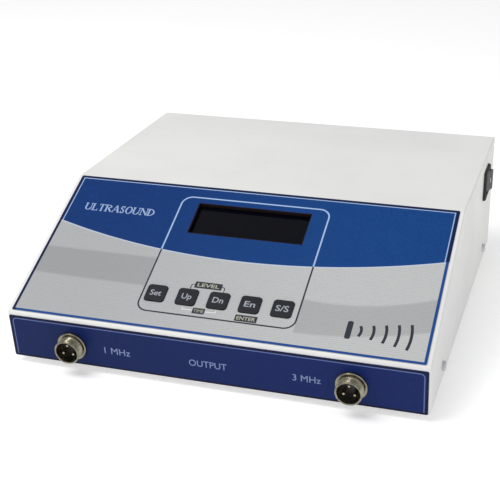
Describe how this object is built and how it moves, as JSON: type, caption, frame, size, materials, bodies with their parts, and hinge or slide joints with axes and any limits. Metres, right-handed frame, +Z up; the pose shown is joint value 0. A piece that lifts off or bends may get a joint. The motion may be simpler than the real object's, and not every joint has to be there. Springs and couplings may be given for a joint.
{
  "type": "ultrasound therapy console",
  "caption": "Desk-top ultrasound therapy console: white folded-steel wedge housing, blue and silver printed panel, display, keys, two round output sockets, side rocker switch.",
  "frame": {"origin": "on the standing surface, under the middle of the whole device's bounding box", "axes": "+Z up; the panel and the sockets face -Y; +X is to the right of a person who faces the panel"},
  "size_m": [0.2683, 0.2814, 0.0882],
  "materials": {
    "powder_coat": "fine satin powder coat, warm white",
    "printed_film": "printed polyester film, satin",
    "key_plastic": "fine-grained moulded plastic",
    "smoked_window": "smoked acrylic, polished",
    "foam_gasket": "closed-cell foam",
    "black_steel": "satin black lacquer",
    "display_glass": "polished",
    "light_guide": "moulded white",
    "foot_rubber": "matt moulded",
    "zinc_steel": "bright zinc plate",
    "nickel_plate": "satin nickel plate",
    "socket_insulator": "moulded phenolic",
    "contact_metal": "nickel-plated brass",
    "black_moulding": "moulded",
    "rocker_plastic": "moulded, satin gloss",
    "fuse_glass": "glass tube with plated caps",
    "core_steel": "varnished laminations",
    "winding_tape": "polyester tape",
    "board_laminate": "solder resist",
    "capacitor_sleeve": "shrunk sleeve",
    "sink_aluminium": "anodised",
    "lead_sheath": "soft sheath"
  },
  "bodies": {
    "housing": {"apron_label": "printed_film", "base_tray": "powder_coat", "board_screws": "zinc_steel", "board_standoffs": "zinc_steel", "buzzer": "black_moulding", "console_overlay": "printed_film", "cover_screws": "zinc_steel", "display_gasket": "foam_gasket", "display_window": "smoked_window", "driver_chips": "black_moulding", "filter_capacitors": "capacitor_sleeve", "foot_front_left": "foot_rubber", "foot_front_right": "foot_rubber", "foot_rear_left": "foot_rubber", "foot_rear_right": "foot_rubber", "foot_screws": "zinc_steel", "heat_sink": "sink_aluminium", "inlet_body": "black_moulding", "inlet_pins": "contact_metal", "inlet_screws": "zinc_steel", "keypad_board": "board_laminate", "lcd_backlight": "light_guide", "lcd_bezel": "black_steel", "lcd_board": "board_laminate", "lcd_glass": "display_glass", "main_board": "board_laminate", "mains_leads": "lead_sheath", "output_coils": "winding_tape", "panel_pillars": "zinc_steel", "panel_screws": "zinc_steel", "power_transistors": "black_moulding", "rear_panel": "powder_coat", "rear_panel_screws": "zinc_steel", "ribbon_cable": "lead_sheath", "socket_1mhz_insert": "socket_insulator", "socket_1mhz_nut": "nickel_plate", "socket_1mhz_pins": "contact_metal", "socket_1mhz_shell": "nickel_plate", "socket_3mhz_insert": "socket_insulator", "socket_3mhz_nut": "nickel_plate", "socket_3mhz_pins": "contact_metal", "socket_3mhz_shell": "nickel_plate", "socket_leads": "lead_sheath", "switch_body": "black_moulding", "switch_terminals": "contact_metal", "tact_switches": "black_moulding", "top_cover": "powder_coat", "transformer_core": "core_steel", "transformer_frame": "zinc_steel", "transformer_screws": "zinc_steel", "transformer_winding": "winding_tape"},
    "key_set": {"key_set": "key_plastic"},
    "key_up": {"key_up": "key_plastic"},
    "key_down": {"key_down": "key_plastic"},
    "key_enter": {"key_enter": "key_plastic"},
    "key_start_stop": {"key_start_stop": "key_plastic"},
    "rocker": {"switch_rocker": "rocker_plastic"},
    "drawer": {"fuse_drawer": "black_moulding", "mains_fuse": "fuse_glass"}
  },
  "joints": [
    {"name": "press_set", "type": "slide", "parent": "housing", "child": "key_set", "axis": [0, 0.4188, -0.9081], "range_m": [0, 0.0005], "stiffness_N_per_m": 4000},
    {"name": "press_up", "type": "slide", "parent": "housing", "child": "key_up", "axis": [0, 0.4188, -0.9081], "range_m": [0, 0.0005], "stiffness_N_per_m": 4000},
    {"name": "press_down", "type": "slide", "parent": "housing", "child": "key_down", "axis": [0, 0.4188, -0.9081], "range_m": [0, 0.0005], "stiffness_N_per_m": 4000},
    {"name": "press_enter", "type": "slide", "parent": "housing", "child": "key_enter", "axis": [0, 0.4188, -0.9081], "range_m": [0, 0.0005], "stiffness_N_per_m": 4000},
    {"name": "press_start_stop", "type": "slide", "parent": "housing", "child": "key_start_stop", "axis": [0, 0.4188, -0.9081], "range_m": [0, 0.0005], "stiffness_N_per_m": 4000},
    {"name": "mains_rocker", "type": "hinge", "parent": "housing", "child": "rocker", "pos_m": [0.131, 0.0908, 0.0685], "axis": [0, 0, 1], "range_deg": [0, 22]},
    {"name": "fuse_drawer_slide", "type": "slide", "parent": "housing", "child": "drawer", "axis": [0, 1, 0], "range_m": [0, 0.016]}
  ]
}
